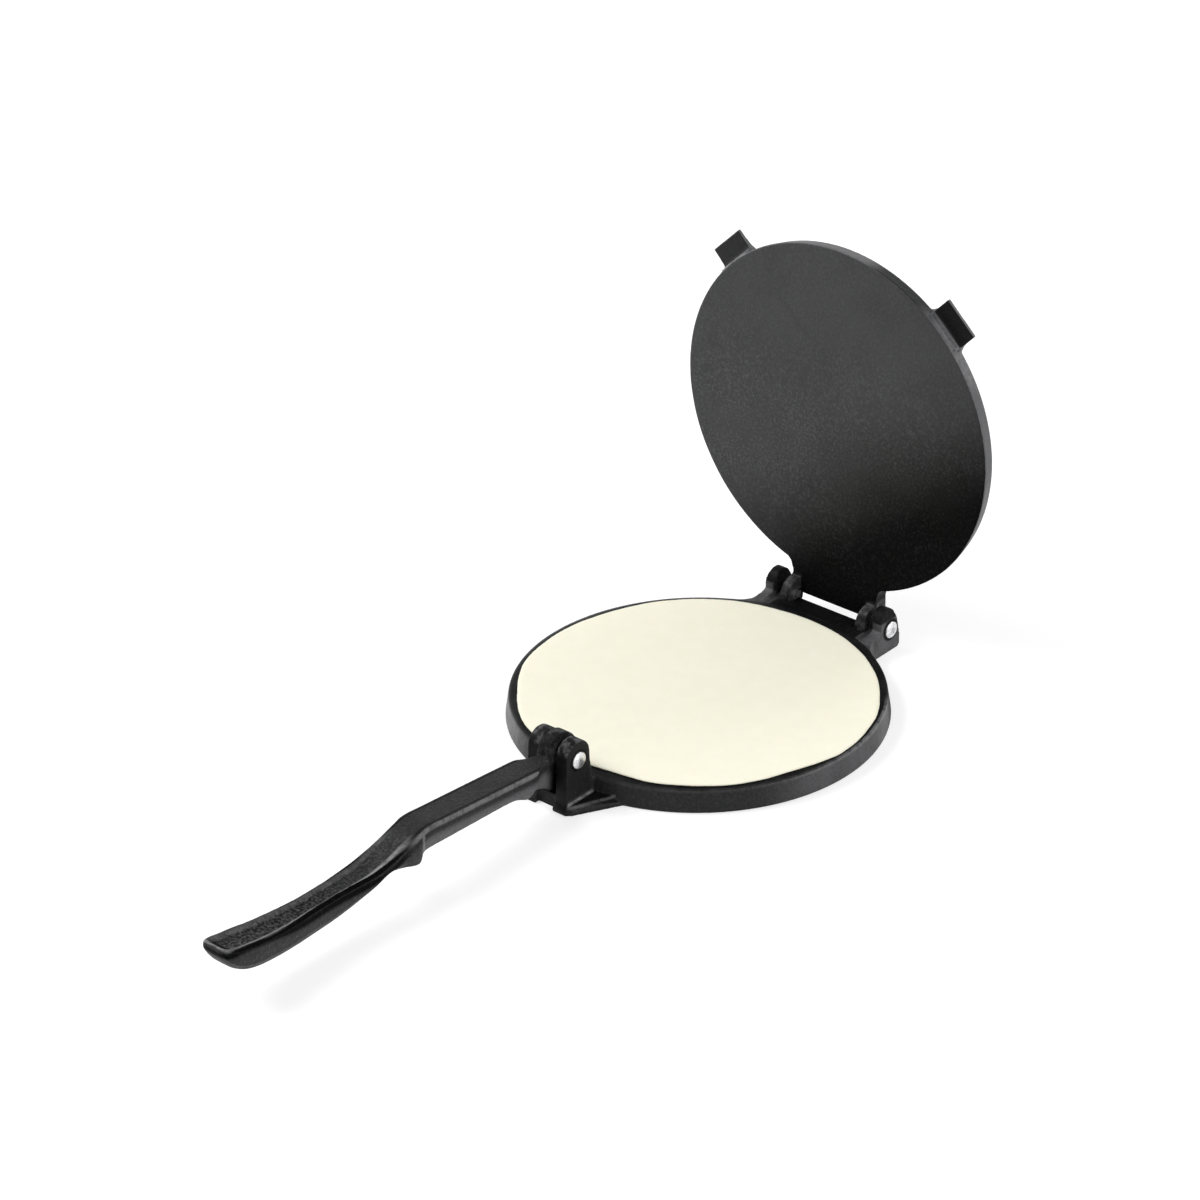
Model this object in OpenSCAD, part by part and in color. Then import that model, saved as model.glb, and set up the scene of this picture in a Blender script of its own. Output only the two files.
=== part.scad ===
// Cast-iron tortilla press: a round base plate, a hinged upper plate, a swing-over lever,
// two short hinge pins, one lever pin, and the pressed dough round that lies on the base.
// Millimetres. +Z is up, the table is z = 0, the base plate's centre is the origin.
// The hinge is at the back (+Y), the lever at the front (-Y), and X is the symmetry direction.

/* [Base plate] */
// Radius of the base plate's top edge
base_radius = 100; // [85:1:115]
// Height of the base plate's pressing face above the table
base_height = 12.8; // [11:0.1:16]
// How far the skirt stands out at its foot
skirt_flare = 1.7; // [0.5:0.1:3]
// Thickness of the skirt wall
skirt_wall = 6; // [4:0.5:9]
// Thickness of the base plate under its pressing face
base_web = 6.2; // [4:0.2:8]
// Thickness of the ribs under the base plate
base_rib = 4; // [3:0.5:6]
// Spacing of the ribs under the base plate
rib_pitch = 47; // [40:1:47]
// Rounding of the plates' pressing edges
edge_round = 0.8; // [0.4:0.1:1.2]

/* [Upper plate] */
// Radius of the upper plate's pressing face
upper_radius = 99.6; // [85:0.2:112]
// Thickness of the upper plate at its rim
upper_thickness = 9.6; // [8:0.2:14]
// Draft of the upper plate's side wall
upper_draft = 2.2; // [0.5:0.1:4]
// Thickness of the upper plate between its back ribs
upper_web = 5.8; // [4:0.2:7]
// Width of the raised band round the upper plate's back
back_band = 7; // [5:0.5:12]
// Width of the ribs on the upper plate's back
back_rib = 5; // [3:0.5:8]
// Radius of the pad that the lever's elbow presses on
press_pad_radius = 24; // [15:1:35]
// Gap between the two pressing faces when the press is shut
shut_gap = 1.75; // [1.7:0.05:3]
// Angle from shut to the open stop
open_angle = 89; // [80:1:95]

/* [Lifting tabs] */
// Angle of each tab from the front centre line
tab_angle = 44; // [25:1:60]
// Width of a tab along the rim
tab_width = 23.5; // [15:0.5:30]
// Distance of a tab's tip from the plate's centre
tab_reach = 111.8; // [106:0.2:120]
// Thickness of a tab at its tip
tab_thickness = 2.2; // [1.8:0.2:3.2]

/* [Rear hinge] */
// Distance of the hinge axis behind the plate's centre
hinge_back = 114.1; // [112:0.1:120]
// Height of the hinge axis above the table
hinge_height = 13.1; // [12:0.1:15]
// Half the width over the base's two hinge ears
hinge_half_width = 40; // [34:0.5:50]
// Thickness of a hinge ear at its foot
hinge_ear = 8.5; // [6:0.5:12]
// Gap between a hinge ear and the knuckle beside it
hinge_side_gap = 2.7; // [1:0.1:5]
// Thickness of an upper-plate knuckle
knuckle_width = 6; // [4:0.5:9]
// Radius of a knuckle's rounded front
knuckle_radius = 9.8; // [8:0.1:10.5]
// Radius of a knuckle behind and below its pin
knuckle_back = 5.4; // [4.8:0.1:7]
// Radius of the hinge pins
hinge_pin_radius = 3; // [2:0.25:4]

/* [Lever clevis] */
// Distance of the lever pin in front of the plate's centre
pivot_front = 110.2; // [110:0.1:120]
// Height of the lever pin above the table
pivot_height = 27.2; // [26:0.2:34]
// Half the width over the two clevis ears
clevis_half_width = 13.4; // [11:0.2:18]
// Thickness of a clevis ear
clevis_ear = 7.6; // [5:0.2:9]
// Half the depth of a clevis ear from front to back
clevis_half_depth = 8.8; // [7:0.2:10]
// Height of the clevis ears' rounded top above the lever pin
clevis_crown = 10.8; // [9.6:0.2:16]
// Thickness of the foot flange under the clevis
foot_thickness = 4.6; // [3:0.2:6]
// Height of the clevis floor that stops the lever
floor_height = 8.2; // [6:0.2:13]
// Radius of the lever pin
lever_pin_radius = 3.2; // [2:0.2:4]

/* [Lever] */
// Width of the lever's head between the clevis ears
head_width = 9.8; // [8:0.2:10.4]
// Gap between the lever's head and the left clevis ear
head_side_gap = 0.4; // [0.2:0.1:1]
// Bevel round the right end of the lever's head
head_bevel = 2.4; // [0.5:0.1:3]
// How far the lever's heel reaches in front of its pin
heel_reach = 9.3; // [8:0.1:10]
// Radius of the lever's head round its pin
head_radius = 11.3; // [9:0.1:12]
// Half the width of the lever's beam
beam_half_width = 9; // [7:0.5:11]
// Depth of the beam beside the elbow
beam_depth = 13.4; // [10:0.2:15]
// How far the beam's heel hangs below its underside at the head
heel_drop = 4.3; // [2:0.1:6]
// Rise of the beam's top from the head to the elbow
beam_rise = 8.2; // [4:0.2:12]
// Distance of the elbow from the lever pin
elbow_reach = 102.8; // [90:0.2:115]
// Length of the grip from the elbow to the tip
grip_length = 144.8; // [110:0.2:160]
// How far the grip's waist lies below the elbow
grip_drop = 8.2; // [4:0.1:12]
// How far the tip curls up above the grip's waist
tip_curl = 7.9; // [4:0.1:14]
// Half the width of the grip's rim at its waist
waist_half_width = 6.4; // [5:0.2:9]
// Half the width of the grip's rim near its tip
paddle_half_width = 9.2; // [7:0.2:12]
// Depth of the grip at its middle
grip_depth = 15.4; // [9:0.2:17]
// Depth of the dished recess in the grip's top
dish_depth = 2.4; // [0.5:0.1:3]
// How far the finger stop stands below the beam
finger_stop = 5.2; // [1:0.2:6]

/* [Pins and fits] */
// Radius of the pins' domed heads
pin_head_radius = 4.7; // [4.4:0.1:6]
// Height of the pins' domed heads
pin_head_height = 1.9; // [1:0.1:3]
// Radial running clearance of a pin in its bore
pin_clearance = 0.05; // [0.01:0.01:0.1]
// Clearance where one piece comes to rest against a stop
stop_clearance = 0.3; // [0.2:0.05:0.6]

/* [Dough] */
// Radius of the pressed dough round
dough_radius = 94.7; // [60:0.1:96]
// Thickness of the pressed dough round
dough_thickness = 1.4; // [0.8:0.1:1.4]

/* [Hidden] */
$fn = 96;
rim_fn = 180;
cut = 1;

// Heights and places that follow from the sizes above
shut_face = base_height + shut_gap;
shut_back = shut_face + upper_thickness;
foot_radius = base_radius + skirt_flare;
ear_inner = hinge_half_width - hinge_ear;
knuckle_outer = ear_inner - hinge_side_gap;
knuckle_inner = knuckle_outer - knuckle_width;
notch_depth = knuckle_radius + stop_clearance;
bridge_top = base_height - 0.4;
bridge_back = hinge_back - 1.9;
slot_half = clevis_half_width - clevis_ear;
floor_front = -pivot_front - heel_reach;
head_left = -slot_half + head_side_gap;
head_right = head_left + head_width;
clevis_back = -pivot_front + clevis_half_depth;
clevis_front = -pivot_front - clevis_half_depth;

// Points along an arc round c, from angle a0 to a1
function arc(c, r, a0, a1, n) =
    [for (i = [0:n]) let (a = a0 + (a1 - a0) * i / n) [c[0] + r * cos(a), c[1] + r * sin(a)]];

// A side outline drawn as [y, z], made solid from x = x0 to x1
module side_plate(x0, x1) {
    translate([x0, 0, 0]) rotate([90, 0, 90]) linear_extrude(height = x1 - x0) children();
}

// A round bar along X
module bar_x(r, x0, x1, fn = 96) {
    translate([x0, 0, 0]) rotate([0, 90, 0]) cylinder(r = r, h = x1 - x0, $fn = fn);
}

module iron() { color([0.10, 0.10, 0.11]) children(); }
module steel() { color([0.78, 0.78, 0.80]) children(); }

// ---------- base plate ----------

// Half section of the base plate, hollow underneath
module base_section() {
    inner = foot_radius - skirt_wall;
    web_z = base_height - base_web;
    polygon(concat(
        [[0, web_z], [0, base_height]],
        arc([base_radius - edge_round, base_height - edge_round], edge_round, 90, 0, 5),
        [[foot_radius, 0.8], [foot_radius - 0.8, 0], [inner, 0], [inner - 1.5, web_z]]));
}

// Grid of ribs under the pressing face; they cross at its centre and stand on the table with the skirt
module base_ribs() {
    for (a = [0, 90]) rotate([0, 0, a]) for (i = [-1, 0, 1])
        translate([i * rib_pitch - base_rib / 2, -foot_radius, 0])
            cube([base_rib, 2 * foot_radius, base_height - base_web + cut]);
}

// Block that carries the two hinge ears, with a notch for each knuckle
module hinge_bridge() {
    root = base_radius - skirt_wall - 4;
    difference() {
        translate([-hinge_half_width, root, 0])
            cube([2 * hinge_half_width, bridge_back - root, bridge_top]);
        for (s = [-1, 1]) scale([s, 1, 1]) translate([knuckle_inner - 1.2, hinge_back - notch_depth, -cut])
            cube([ear_inner - knuckle_inner + 1.2, 40, 60]);
        // open underneath, like the plate
        translate([-knuckle_inner + 4, base_radius - 14, -cut])
            cube([2 * knuckle_inner - 8, hinge_back - notch_depth - base_radius + 9,
                  base_height - base_web + cut]);
    }
    // small webs that blend the bridge's sides into the skirt
    for (s = [-1, 1]) linear_extrude(height = bridge_top) polygon([
        [s * (hinge_half_width - 3), root], [s * (hinge_half_width + 9), base_radius - 13],
        [s * (hinge_half_width + 3.5), base_radius - 8.4], [s * (hinge_half_width + 1.2), base_radius - 5],
        [s * hinge_half_width, base_radius - 1], [s * (hinge_half_width - 3), base_radius - 1]]);
}

// One hinge ear: a low cheek that meets the skirt, and a rounded ear round the pin
module hinge_ear(s) {
    crown = hinge_height + 12.8;
    front = hinge_back - 8.4;
    difference() {
        scale([s, 1, 1]) side_plate(ear_inner, hinge_half_width) polygon(concat(
            [[base_radius - 14, 0], [base_radius - 14, bridge_top],
             [base_radius - 6, bridge_top], [front - 2, base_height + 0.8], [front, base_height + 2]],
            arc([front + 6.8, crown - 6.8], 6.8, 180, 38, 12),
            [[hinge_back + 5.6, hinge_height + 6], [hinge_back + 8.2, hinge_height - 6],
             [hinge_back + 8.2, 1.6], [hinge_back + 6.6, 0]]));
        // draft on the ear's inner side
        scale([s, 1, 1]) translate([ear_inner, front - 5, base_height + 0.9])
            rotate([0, 7, 0]) translate([-20, 0, -4]) cube([20, 30, 30]);
        // the outer side leans in above the pin head
        scale([s, 1, 1]) translate([hinge_half_width, front - 5, hinge_height + 5.4])
            rotate([0, -11, 0]) translate([0, 0, -4]) cube([20, 30, 30]);
    }
}

// Bridge and both ears, bored through for the hinge pins
module hinge_block() {
    difference() {
        union() {
            hinge_bridge();
            for (s = [-1, 1]) hinge_ear(s);
        }
        for (s = [-1, 1]) translate([0, hinge_back, hinge_height]) scale([s, 1, 1])
            bar_x(hinge_pin_radius + pin_clearance, ear_inner - cut, hinge_half_width + cut);
    }
}

// Outline of a clevis ear seen from the side, as [y, z]
module clevis_outline() {
    centre = pivot_height + clevis_crown - clevis_half_depth;
    polygon(concat(
        [[clevis_front - 1.4, 0], [clevis_front - 1.2, foot_thickness + 2], [clevis_front, centre - 4]],
        arc([-pivot_front, centre], clevis_half_depth, 180, 0, 18),
        [[clevis_back, centre - 4], [-base_radius - 0.3, shut_face + 3], [-base_radius - 0.3, base_height],
         [-base_radius + 4, base_height - 1.5], [-base_radius + 4, 0]]));
}

module clevis() {
    front = clevis_front - 3.9;
    difference() {
        union() {
            for (s = [-1, 1]) scale([s, 1, 1])
                side_plate(slot_half, clevis_half_width) clevis_outline();
            // floor between the ears: the lever's heel comes to rest on its top
            translate([-slot_half - cut, floor_front, 0])
                cube([2 * (slot_half + cut), -base_radius + 4 - floor_front, floor_height]);
        }
        translate([0, -pivot_front, pivot_height])
            bar_x(lever_pin_radius + pin_clearance, -clevis_half_width - cut, clevis_half_width + cut);
    }
    // foot flange: spreads back into the skirt on both sides, with a flat top and a sloped edge
    for (s = [-1, 1]) hull() {
        linear_extrude(height = foot_thickness * 0.45) polygon([
            [s * slot_half, front], [s * (clevis_half_width + 1), front],
            [s * (clevis_half_width + 3.6), front + 2.4], [s * (clevis_half_width + 17), -base_radius + 3.4],
            [s * (clevis_half_width + 16), -base_radius + 8], [s * slot_half, -base_radius + 5]]);
        linear_extrude(height = foot_thickness) polygon([
            [s * slot_half, front + 2.4], [s * (clevis_half_width + 0.6), front + 2.8],
            [s * (clevis_half_width + 1.9), front + 3.6], [s * (clevis_half_width + 13.3), -base_radius + 4.5],
            [s * (clevis_half_width + 12), -base_radius + 8], [s * slot_half, -base_radius + 5]]);
    }
    // fillet between each ear and the flange
    for (s = [-1, 1]) scale([s, 1, 1]) translate([0, -base_radius + 2.5, 0]) rotate([90, 0, 0])
        linear_extrude(height = -base_radius + 3.1 - clevis_front) polygon([
            [clevis_half_width - 2, foot_thickness - 1], [clevis_half_width - 2, foot_thickness + 3.8],
            [clevis_half_width, foot_thickness + 1.9], [clevis_half_width + 1.2, foot_thickness],
            [clevis_half_width + 1.2, foot_thickness - 1]]);
}

module base_plate() iron() {
    rotate_extrude($fn = rim_fn) base_section();
    intersection() {
        base_ribs();
        cylinder(r = base_radius - 3, h = base_height);
    }
    hinge_block();
    clevis();
}

// ---------- upper plate, drawn shut and then opened about the hinge axis ----------

module upper_section() {
    back_radius = upper_radius - upper_draft;
    web = shut_face + upper_web;
    polygon(concat(
        [[0, web], [0, shut_face]],
        arc([upper_radius - edge_round, shut_face + edge_round], edge_round, -90, 0, 5),
        [[back_radius + 0.3, shut_back - 1], [back_radius - 0.7, shut_back],
         [back_radius - back_band, shut_back], [back_radius - back_band - 1.5, web]]));
}

// Ribs and press pad on the back
module upper_back() {
    band = upper_radius - upper_draft - back_band;
    web = shut_face + upper_web;
    for (a = [0:60:300]) rotate([0, 0, a])
        translate([press_pad_radius - 3, -back_rib / 2, web - cut])
            cube([band + 3 - press_pad_radius + 1, back_rib, shut_back - web + cut - 0.8]);
    translate([0, 0, web - cut])
        cylinder(r1 = press_pad_radius + 1, r2 = press_pad_radius, h = shut_back - web + cut);
}

// A tab at the back of the rim, on a flat pad as thick as the rim
module lifting_tab(s) {
    face = shut_back - tab_thickness - 1;
    pad = upper_radius + 0.4;
    rotate([0, 0, s * tab_angle]) {
        // drafted tab with a small fillet where it meets the pad
        side_plate(-tab_width / 2, tab_width / 2) polygon([
            [-pad + 8, shut_back], [-tab_reach, shut_back - 1], [-tab_reach, face],
            [-pad - 1.8, face - 0.2], [-pad - 0.9, face - 0.6], [-pad - 0.3, face - 1.2],
            [-pad, face - 2], [-pad, shut_face + 2.4], [-pad + 8, shut_face + 2.4]]);
        // root flares on both sides of the tab
        for (e = [-1, 1]) translate([0, 0, face]) linear_extrude(height = shut_back - face - 0.2) polygon([
            [e * (tab_width / 2 - 1), -pad + 5], [e * (tab_width / 2 + 1.8), -pad + 3.6],
            [e * (tab_width / 2 + 0.8), -pad + 1], [e * (tab_width / 2 + 0.3), -pad - 0.6],
            [e * tab_width / 2, -pad - 2.4], [e * (tab_width / 2 - 1), -pad - 2.4]]);
    }
}

// Flat neck from the rim to the hinge line, and the two knuckles
module hinge_neck() {
    side = knuckle_outer - 0.3;
    reach = hinge_back - 0.1;
    flare = sqrt(pow(upper_radius - upper_draft - 1, 2) - pow(side + 8, 2));
    difference() {
        translate([0, 0, shut_face]) linear_extrude(height = upper_thickness) polygon([
            [side, reach], [side, flare + 11.5], [side + 1.4, flare + 7], [side + 8, flare],
            [-side - 8, flare], [-side - 1.4, flare + 7], [-side, flare + 11.5], [-side, reach]]);
        // keep the back of the neck level with the plate's web behind the band
        translate([-side + 6, reach - 12, shut_face + upper_web + 1])
            cube([2 * side - 12, 20, upper_thickness]);
        for (s = [-1, 1]) translate([0, hinge_back, hinge_height]) scale([s, 1, 1])
            bar_x(hinge_pin_radius + pin_clearance, knuckle_inner - cut, knuckle_outer + cut);
    }
    for (s = [-1, 1]) knuckle(s);
}

// A point of the open knuckle, turned back to where it lies when the plate is shut
function shut(p) = [p[0] * cos(open_angle) - p[1] * sin(open_angle),
                    p[0] * sin(open_angle) + p[1] * cos(open_angle)];

// A knuckle round the hinge pin, with a square toe that meets the notch when fully open
module knuckle(s) {
    face = shut_face - hinge_height;
    difference() {
        scale([s, 1, 1]) translate([0, hinge_back, hinge_height])
            side_plate(knuckle_inner, knuckle_outer) polygon(concat(
                [[-3, face + 3], [-knuckle_radius - 1, face + 1.5], [-knuckle_radius - 0.6, face]],
                arc([0, 0], knuckle_radius, 180, 180 + open_angle, 18),
                [shut([-knuckle_radius, -3.6]), shut([-knuckle_radius + 1.6, -knuckle_back + 0.2])],
                arc([0, 0], knuckle_back, -42, 12, 8), [[4, face + 2]]));
        translate([0, hinge_back, hinge_height]) scale([s, 1, 1])
            bar_x(hinge_pin_radius + pin_clearance, knuckle_inner - cut, knuckle_outer + cut);
    }
}

module upper_plate() iron()
    translate([0, hinge_back, hinge_height]) rotate([-open_angle, 0, 0])
        translate([0, -hinge_back, -hinge_height]) {
            rotate_extrude($fn = rim_fn) upper_section();
            upper_back();
            for (s = [-1, 1]) lifting_tab(s);
            hinge_neck();
        }

// ---------- lever ----------

// Key sections along the lever: [distance in front of the pin, top, bottom, half width of the
// top's rim, half width of the sides, half width of the bottom, dish]
elbow_top = pivot_height + 2 + beam_rise;
waist_top = elbow_top - grip_drop;
b = beam_half_width;
h5 = head_width / 2 - 0.2;

function beam_top(d) = pivot_height + 2 + beam_rise * (d - 9) / (elbow_reach - 9);
function beam_bottom(d) = elbow_top - beam_depth - 4.6 * (elbow_reach - d) / elbow_reach;
function heel_bottom(d, share) = beam_bottom(d) - share * heel_drop;
function stop_bottom(share) = elbow_top - beam_depth - share * finger_stop;

head_keys = [
    [8.7, pivot_height + 1.8, floor_height + 0.9, h5 - 0.3, h5 - 0.3, h5 - 0.6, 0],
    [14, beam_top(14), floor_height + 4.2, h5 - 0.1, h5 - 0.2, h5 - 0.5, 0],
    [18.5, beam_top(18.5), floor_height + 6.6, h5 + 0.6, h5 + 0.2, h5 - 0.2, 0],
    [24, beam_top(24), heel_bottom(24, 1), b * 0.94, b * 0.84, b * 0.56, 0],
    [28, beam_top(28), heel_bottom(28, 0.9), b, b * 0.98, b * 0.78, 0],
    [33, beam_top(33), heel_bottom(33, 1), b, b, b * 0.93, 0],
    [38, beam_top(38), heel_bottom(38, 0.5), b, b, b * 0.95, 0],
    [43, beam_top(43), heel_bottom(43, 0.12), b, b, b * 0.95, 0],
    [52, beam_top(52), beam_bottom(52), b, b, b * 0.95, 0],
    [66, beam_top(66), beam_bottom(66), b, b, b * 0.95, 0],
    [82, beam_top(82), beam_bottom(82), b, b, b * 0.95, 0]];
elbow_keys = [
    [elbow_reach - 8, beam_top(elbow_reach - 8), beam_bottom(elbow_reach - 8), b, b, b * 0.95, 0],
    [elbow_reach - 1, elbow_top, elbow_top - beam_depth, b, b, b * 0.95, 0],
    [elbow_reach + 4.6, elbow_top - 0.1, elbow_top - beam_depth, b, b, b * 0.95, 0],
    [elbow_reach + 7, elbow_top - 0.5, stop_bottom(0.22), b * 0.97, b + 0.2, b * 0.96, 0],
    [elbow_reach + 9, elbow_top - 0.9, stop_bottom(0.94), b * 0.95, b + 0.9, b, 0],
    [elbow_reach + 11.5, elbow_top - 1.5, stop_bottom(1.02), b * 0.94, b + 1.1, b * 1.02, 0],
    [elbow_reach + 15, elbow_top - 2.5, stop_bottom(0.84), b * 0.93, b + 0.9, b, 0],
    [elbow_reach + 20, elbow_top - 4, stop_bottom(0.48), b * 0.92, b + 0.5, b * 0.95, 0.2]];

// Shape of the grip along its length: [share of length, share of drop left, share of curl,
// share of depth, share of width from waist to paddle, share of dish]
grip_shape = [
    [0.187, 0.28, 0.00, 0.54, 0.64, 0.3], [0.228, 0.12, 0.00, 0.46, 0.64, 0.5],
    [0.284, 0.00, 0.00, 0.59, 0.60, 0.8], [0.353, 0.00, 0.00, 0.76, 0.32, 1],
    [0.42, 0.00, 0.01, 0.90, 0.07, 1], [0.49, 0.00, 0.01, 0.97, 0.00, 1],
    [0.56, 0.00, 0.03, 1.00, 0.07, 1], [0.63, 0.00, 0.06, 1.00, 0.36, 1],
    [0.70, 0.00, 0.14, 1.01, 0.61, 1], [0.77, 0.00, 0.27, 1.02, 0.79, 1],
    [0.837, 0.00, 0.46, 1.02, 1.00, 1], [0.892, 0.00, 0.63, 0.955, 0.90, 1]];
// The rounded tip: [share of length, share of curl, share of depth, share of paddle width, dish]
tip_shape = [
    [0.927, 0.76, 0.84, 0.96, 1], [0.948, 0.85, 0.70, 0.90, 0.75], [0.963, 0.92, 0.54, 0.81, 0.25],
    [0.973, 0.97, 0.38, 0.69, 0.05], [0.979, 1.00, 0.22, 0.54, 0.02]];
grip_keys = [for (g = grip_shape)
    let (top = waist_top + g[1] * grip_drop + g[2] * tip_curl,
         rim = waist_half_width + g[4] * (paddle_half_width - waist_half_width))
    [elbow_reach + g[0] * grip_length, top, top - g[3] * grip_depth, rim, rim + 1.5, (rim + 1.5) * 0.81,
     g[5] * dish_depth]];
tip_keys = [for (g = tip_shape)
    let (top = waist_top + g[1] * tip_curl, rim = g[3] * paddle_half_width)
    [elbow_reach + g[0] * grip_length, top, top - g[2] * grip_depth, rim, rim * 1.15, rim * 0.8,
     g[4] * dish_depth]];
lever_keys = concat(head_keys, elbow_keys, grip_keys, tip_keys);

// One section: half of it is mirrored, so the ring is symmetric
function half_ring(k) =
    let (h = k[1] - k[2]) [
        [0, k[2]], [k[5] * 0.75, k[2] + h * 0.02], [k[5], k[2] + h * 0.08], [k[4] * 0.98, k[2] + h * 0.28],
        [k[4], k[2] + h * 0.52], [k[3] + (k[4] - k[3]) * 0.6, k[1] - h * 0.16],
        [k[3], k[1] - h * 0.045], [k[3] * 0.93, k[1]], [k[3] * 0.80, k[1] - k[6] * 0.45],
        [k[3] * 0.52, k[1] - k[6] * 0.95], [0, k[1] - k[6]]];
function ring(k) = let (p = half_ring(k)) concat(
    [for (q = p) [q[0], -pivot_front - k[0], q[1]]],
    [for (i = [9:-1:1]) [-p[i][0], -pivot_front - k[0], p[i][1]]]);

// Smooth values between the key sections
function blend4(a, b, c, d, t) = 0.5 * ((2 * b) + (c - a) * t + (2 * a - 5 * b + 4 * c - d) * t * t
    + (3 * b - a - 3 * c + d) * t * t * t);
function smooth_keys(keys, steps) = let (n = len(keys)) concat(
    [for (i = [0:n - 2]) for (j = [0:steps - 1])
        blend4(keys[max(i - 1, 0)], keys[i], keys[i + 1], keys[min(i + 2, n - 1)], j / steps)],
    [keys[n - 1]]);

module lever_body() {
    rings = [for (k = smooth_keys(lever_keys, 3)) ring(k)];
    m = len(rings[0]);
    n = len(rings);
    polyhedron(
        points = [for (r = rings) for (p = r) p],
        faces = concat(
            [[for (i = [0:m - 1]) i]],
            [for (j = [0:n - 2]) for (i = [0:m - 1])
                [j * m + i, (j + 1) * m + i, j * m + (i + 1) % m]],
            [for (j = [0:n - 2]) for (i = [0:m - 1])
                [j * m + (i + 1) % m, (j + 1) * m + i, (j + 1) * m + (i + 1) % m]],
            [[for (i = [m - 1:-1:0]) (n - 1) * m + i]]),
        convexity = 6);
}

// Barrel round the lever pin, bevelled at its right end
module lever_head() translate([head_left, 0, 0]) rotate([0, 90, 0]) rotate_extrude() polygon([
    [0, 0], [head_radius - 0.5, 0], [head_radius, 0.5], [head_radius, head_width - head_bevel],
    [head_radius - head_bevel * 0.3, head_width - head_bevel * 0.4], [head_radius - head_bevel, head_width],
    [0, head_width]]);

module lever_handle() iron() difference() {
    union() {
        lever_body();
        translate([0, -pivot_front, pivot_height]) lever_head();
        // heel under the head: its flat bottom rests on the clevis floor
        side_plate(head_left, head_right - head_bevel) polygon([
            [-pivot_front, pivot_height], [-pivot_front, pivot_height - head_radius + 1],
            [-pivot_front - 1.6, floor_height + stop_clearance],
            [-pivot_front - heel_reach, floor_height + stop_clearance],
            [-pivot_front - heel_reach - 1.2, floor_height + 1.6],
            [-pivot_front - heel_reach - 1.2, pivot_height]]);
    }
    translate([0, -pivot_front, pivot_height])
        bar_x(lever_pin_radius + pin_clearance, head_left - cut, head_right + cut);
}

// ---------- pins ----------

// A domed head whose flat side is at x = 0 and whose dome points along +X
module pin_head() rotate([0, 90, 0]) rotate_extrude() polygon(concat(
    [[0, 0], [pin_head_radius, 0], [pin_head_radius, pin_head_height * 0.25]],
    [for (a = [10:10:80]) [pin_head_radius * cos(a), pin_head_height * (0.25 + 0.75 * sin(a))]],
    [[0, pin_head_height]]));

// A short pin: a domed head outside its ear, and a chamfered end inside the knuckle
module hinge_pin(s) steel()
    translate([0, hinge_back, hinge_height]) scale([s, 1, 1]) {
        bar_x(hinge_pin_radius, knuckle_inner + 1.2, hinge_half_width + 0.2);
        translate([knuckle_inner + 0.5, 0, 0]) rotate([0, 90, 0])
            cylinder(r1 = hinge_pin_radius - 0.6, r2 = hinge_pin_radius, h = 0.7);
        translate([hinge_half_width, 0, 0]) pin_head();
    }

module hinge_pin_left() hinge_pin(-1);
module hinge_pin_right() hinge_pin(1);

module lever_pin() steel() translate([0, -pivot_front, pivot_height]) {
    bar_x(lever_pin_radius, -clevis_half_width - 0.2, clevis_half_width + 0.2);
    for (s = [-1, 1]) scale([s, 1, 1]) translate([clevis_half_width, 0, 0]) pin_head();
}

// ---------- dough ----------

module dough_round() color([0.96, 0.94, 0.86]) translate([0, -0.4, base_height])
    rotate_extrude($fn = rim_fn) polygon([
        [0, 0], [dough_radius - 0.6, 0], [dough_radius, 0.35], [dough_radius, dough_thickness - 0.5],
        [dough_radius - 0.7, dough_thickness], [0, dough_thickness]]);

base_plate();
upper_plate();
lever_handle();
hinge_pin_left();
hinge_pin_right();
lever_pin();
dough_round();
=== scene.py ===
import math

import bpy
from mathutils import Matrix, Vector, noise

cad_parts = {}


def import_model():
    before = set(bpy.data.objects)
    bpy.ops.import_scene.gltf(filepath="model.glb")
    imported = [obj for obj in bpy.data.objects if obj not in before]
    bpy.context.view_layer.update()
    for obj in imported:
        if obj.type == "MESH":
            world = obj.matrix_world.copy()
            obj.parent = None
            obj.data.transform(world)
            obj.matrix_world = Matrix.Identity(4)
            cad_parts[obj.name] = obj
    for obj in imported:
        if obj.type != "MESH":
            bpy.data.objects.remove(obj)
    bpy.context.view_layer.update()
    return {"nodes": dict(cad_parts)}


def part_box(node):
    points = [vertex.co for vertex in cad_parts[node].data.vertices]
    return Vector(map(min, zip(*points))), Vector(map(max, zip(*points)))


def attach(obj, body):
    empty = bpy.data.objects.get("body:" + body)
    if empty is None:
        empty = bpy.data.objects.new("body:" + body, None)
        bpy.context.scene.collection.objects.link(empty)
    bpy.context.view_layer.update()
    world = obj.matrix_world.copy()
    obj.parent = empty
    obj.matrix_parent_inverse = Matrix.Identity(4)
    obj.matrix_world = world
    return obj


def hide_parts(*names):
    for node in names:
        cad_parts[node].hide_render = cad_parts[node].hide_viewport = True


# Tortilla press: the looks of the solids in the frame, the dough round, the studio and the camera.
# Lengths are metres in the shared frame: +Z is up, +Y runs from the lever to the plate hinge and
# +X is to the right as seen from the lever. Names that end in _mm are millimetres.

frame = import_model()
NODES = frame["nodes"]
MM = 0.001
SCENE = bpy.context.scene


def place_in_scene(name, data):
    obj = bpy.data.objects.new(name, data)
    SCENE.collection.objects.link(obj)
    return obj


# ---------- camera: solved from the plates' outlines, the rivet heads and the lever ----------

SENSOR_MM = 36
LENS_MM = 124.10
CLIP_NEAR = 0.01
CLIP_FAR = 50
# the camera's own right, up and backward directions, and its place, in the frame
RIGHT = Vector((0.75522713, 0.65521004, -0.0182153))
UP = Vector((-0.30988142, 0.38139681, 0.87092478))
BACK = Vector((0.57758592, -0.65210144, 0.49107863))
EYE = Vector((1.20361, -1.43510, 1.12382))


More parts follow.
